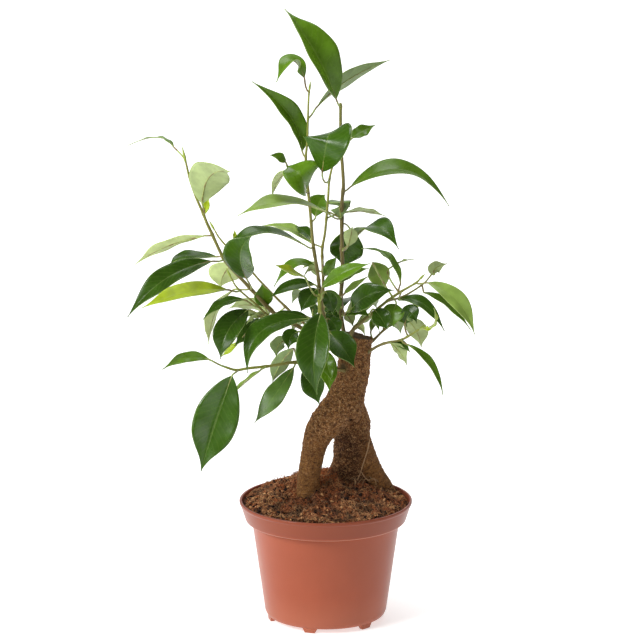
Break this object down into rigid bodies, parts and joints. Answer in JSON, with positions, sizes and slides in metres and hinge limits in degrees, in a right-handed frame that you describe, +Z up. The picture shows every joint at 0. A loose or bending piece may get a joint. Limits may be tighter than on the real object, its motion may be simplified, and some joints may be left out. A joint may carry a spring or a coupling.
{
  "type": "ginseng ficus bonsai in a nursery pot",
  "caption": "Ginseng ficus bonsai with a forked trunk, slender green shoots and pointed glossy leaves, in a terracotta-coloured plastic nursery pot.",
  "frame": {"origin": "on the surface that the pot's feet stand on, under the middle of the plant's extents", "axes": "+Z up along the pot's axis, -Y to the front, +X to the right as seen from the front"},
  "size_m": [0.2356, 0.1493, 0.4276],
  "materials": {
    "pot_plastic": "satin",
    "potting_soil": "matte",
    "bark": "matte",
    "green_stem": "satin",
    "leaf_dark": "gloss",
    "leaf_mid": "satin",
    "leaf_light": "satin",
    "leaf_lime": "satin",
    "leaf_pale": "matte"
  },
  "bodies": {
    "root": {"pot": "pot_plastic", "soil": "potting_soil", "trunk": "bark", "shoot_a": "green_stem", "shoot_b": "green_stem", "shoot_c": "green_stem", "shoot_d": "green_stem", "shoot_j": "green_stem", "shoot_k": "green_stem", "shoot_e": "green_stem", "shoot_f": "green_stem", "shoot_g": "green_stem", "shoot_h": "green_stem", "shoot_i": "green_stem", "shoot_y": "green_stem", "leaf_a_crown": "leaf_mid", "leaf_a_right": "leaf_light", "leaf_a_left": "leaf_light", "leaf_a_twist": "leaf_dark", "leaf_a_round": "leaf_dark", "leaf_b_tip": "leaf_mid", "leaf_b_right": "leaf_pale", "leaf_b_dark": "leaf_mid", "leaf_b_fold": "leaf_mid", "leaf_b_lime": "leaf_lime", "leaf_c_front": "leaf_dark", "leaf_c_behind": "leaf_pale", "leaf_b_arch": "leaf_dark", "leaf_c_arch": "leaf_light", "leaf_b_low": "leaf_dark", "leaf_d_narrow": "leaf_dark", "leaf_d_lime": "leaf_lime", "leaf_d_gloss": "leaf_dark", "leaf_d_under": "leaf_dark", "leaf_y_spotted": "leaf_dark", "leaf_e_olive": "leaf_pale", "leaf_e_hang": "leaf_dark", "leaf_d_tip": "leaf_mid", "leaf_d_curl": "leaf_pale", "leaf_d_left": "leaf_pale", "leaf_d_long": "leaf_dark", "leaf_d_yellow": "leaf_lime", "leaf_d_up": "leaf_dark", "leaf_d_round": "leaf_lime", "leaf_e_tip": "leaf_mid", "leaf_e_front": "leaf_mid", "leaf_e_small": "leaf_light", "leaf_y_lime": "leaf_lime", "leaf_y_light": "leaf_light", "leaf_y_front": "leaf_dark", "leaf_y_right": "leaf_dark", "leaf_y_behind": "leaf_dark", "leaf_f_arch": "leaf_mid", "leaf_f_hang": "leaf_light", "leaf_a_dark": "leaf_dark", "leaf_f_big": "leaf_light", "leaf_f_dark": "leaf_dark", "leaf_h_pale": "leaf_pale", "leaf_h_long": "leaf_mid", "leaf_h_lime": "leaf_lime"}
  },
  "joints": []
}
